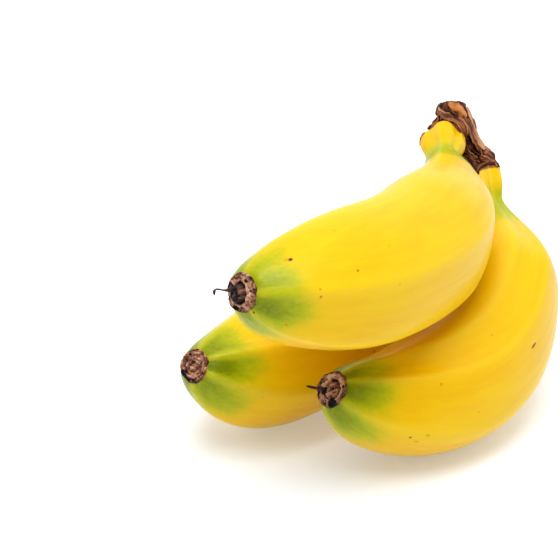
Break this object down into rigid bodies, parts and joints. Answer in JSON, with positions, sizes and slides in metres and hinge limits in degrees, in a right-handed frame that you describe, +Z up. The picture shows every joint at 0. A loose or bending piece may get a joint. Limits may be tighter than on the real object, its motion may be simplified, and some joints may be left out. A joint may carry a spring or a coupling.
{
  "type": "hand of bananas",
  "caption": "Short plump bananas curving from one dry crown, lying on the two lower fruits, with withered flower ends.",
  "frame": {"origin": "middle of the footprint, on the surface the hand lies on", "axes": "+Z up; the crown is at the +Y end and the fruits grow from it towards -Y and bend towards -X"},
  "size_m": [0.1128, 0.1434, 0.0816],
  "materials": {
    "peel": "satin yellow peel, green near both ends",
    "crown_fibre": "dry brown fibre",
    "flower_end": "dry dark cork"
  },
  "bodies": {
    "root": {"crown": "crown_fibre", "finger_top": "peel", "finger_right": "peel", "finger_left": "peel", "flower_end_top": "flower_end", "flower_end_right": "flower_end", "flower_end_left": "flower_end"}
  },
  "joints": []
}
